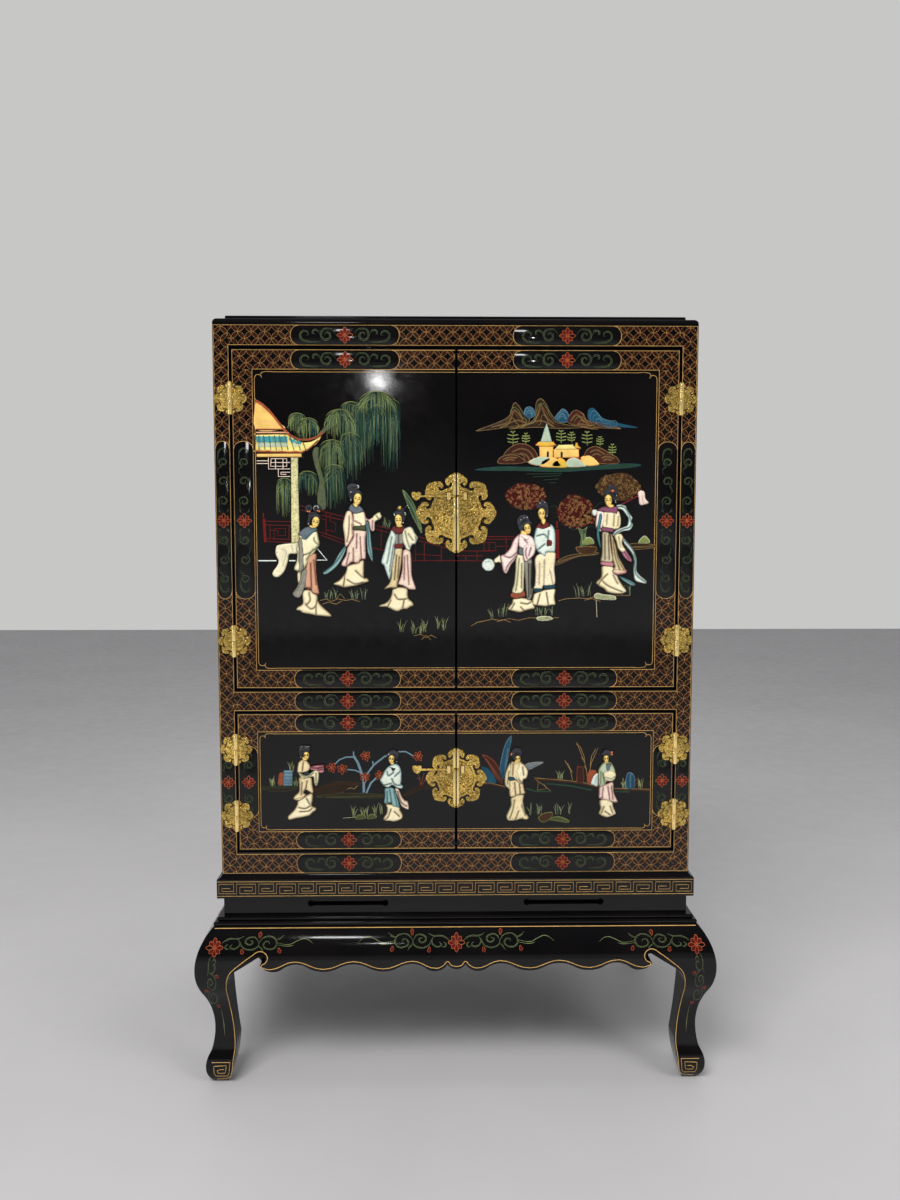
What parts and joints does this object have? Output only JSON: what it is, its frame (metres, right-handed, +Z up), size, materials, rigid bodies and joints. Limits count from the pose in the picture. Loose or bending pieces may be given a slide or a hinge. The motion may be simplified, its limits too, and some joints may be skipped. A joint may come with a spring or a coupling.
{
  "type": "cabinet on stand",
  "caption": "Black lacquered two-tier cabinet with paired doors, brass hinges and bolt locks, on a low stand with curved legs and a scalloped apron.",
  "frame": {"origin": "on the floor under the middle of the piece", "axes": "+X to the viewer's right, +Y towards the back, doors face -Y, +Z up"},
  "size_m": [0.9908, 0.5708, 1.462],
  "materials": {
    "black_lacquer": "high gloss lacquer",
    "inner_lacquer": "satin lacquer",
    "brass": "polished",
    "soapstone": "satin"
  },
  "bodies": {
    "cabinet": {"apron_back": "black_lacquer", "apron_front": "black_lacquer", "apron_left": "black_lacquer", "apron_right": "black_lacquer", "back_board": "black_lacquer", "base_moulding": "black_lacquer", "bottom_board": "inner_lacquer", "bottom_rail": "black_lacquer", "crown_moulding": "black_lacquer", "glue_blocks": "inner_lacquer", "hinge_leaves_frame": "brass", "key_rails_long": "black_lacquer", "key_rails_short": "black_lacquer", "leg_back_left": "black_lacquer", "leg_back_right": "black_lacquer", "leg_front_left": "black_lacquer", "leg_front_right": "black_lacquer", "mid_deck": "inner_lacquer", "mid_rail": "black_lacquer", "shelf": "inner_lacquer", "shelf_cleats": "inner_lacquer", "shoulder_moulding": "black_lacquer", "side_left": "black_lacquer", "side_right": "black_lacquer", "stand_battens": "inner_lacquer", "stand_panel": "inner_lacquer", "stile_left": "black_lacquer", "stile_right": "black_lacquer", "top_board": "inner_lacquer", "top_rail": "black_lacquer", "top_slab": "black_lacquer", "waist_back": "black_lacquer", "waist_front": "black_lacquer", "waist_left": "black_lacquer", "waist_right": "black_lacquer"},
    "door_upper_left": {"door_upper_left": "black_lacquer", "hinge_leaves_upper_left": "brass", "lock_plate_upper_left": "brass", "lady_by_rock": "soapstone", "lady_in_pink": "soapstone", "lady_with_brown_collar": "soapstone"},
    "door_upper_right": {"door_upper_right": "black_lacquer", "hinge_leaves_upper_right": "brass", "lock_plate_upper_right": "brass", "lady_with_round_fan": "soapstone", "lady_in_pale_blue": "soapstone", "lady_with_ribbons": "soapstone"},
    "door_lower_left": {"door_lower_left": "black_lacquer", "hinge_leaves_lower_left": "brass", "lock_plate_lower_left": "brass", "lady_with_box": "soapstone", "lady_in_teal": "soapstone"},
    "door_lower_right": {"door_lower_right": "black_lacquer", "hinge_leaves_lower_right": "brass", "lock_plate_lower_right": "brass", "lady_in_cream": "soapstone", "lady_in_green": "soapstone"},
    "bolt_upper": {"bolt_upper": "brass"},
    "bolt_lower": {"bolt_lower": "brass"}
  },
  "joints": [
    {"name": "door_upper_left_hinge", "type": "hinge", "parent": "cabinet", "child": "door_upper_left", "pos_m": [-0.419, -0.2443, 1.0805], "axis": [0, 0, -1], "range_deg": [0, 170]},
    {"name": "door_upper_right_hinge", "type": "hinge", "parent": "cabinet", "child": "door_upper_right", "pos_m": [0.419, -0.2443, 1.0805], "axis": [0, 0, 1], "range_deg": [0, 170]},
    {"name": "door_lower_left_hinge", "type": "hinge", "parent": "cabinet", "child": "door_lower_left", "pos_m": [-0.419, -0.2443, 0.58275], "axis": [0, 0, -1], "range_deg": [0, 170]},
    {"name": "door_lower_right_hinge", "type": "hinge", "parent": "cabinet", "child": "door_lower_right", "pos_m": [0.419, -0.2443, 0.58275], "axis": [0, 0, 1], "range_deg": [0, 170]},
    {"name": "bolt_upper_slide", "type": "slide", "parent": "door_upper_left", "child": "bolt_upper", "axis": [1, 0, 0], "range_m": [0, 0.032]},
    {"name": "bolt_lower_slide", "type": "slide", "parent": "door_lower_left", "child": "bolt_lower", "axis": [1, 0, 0], "range_m": [0, 0.0416]}
  ]
}
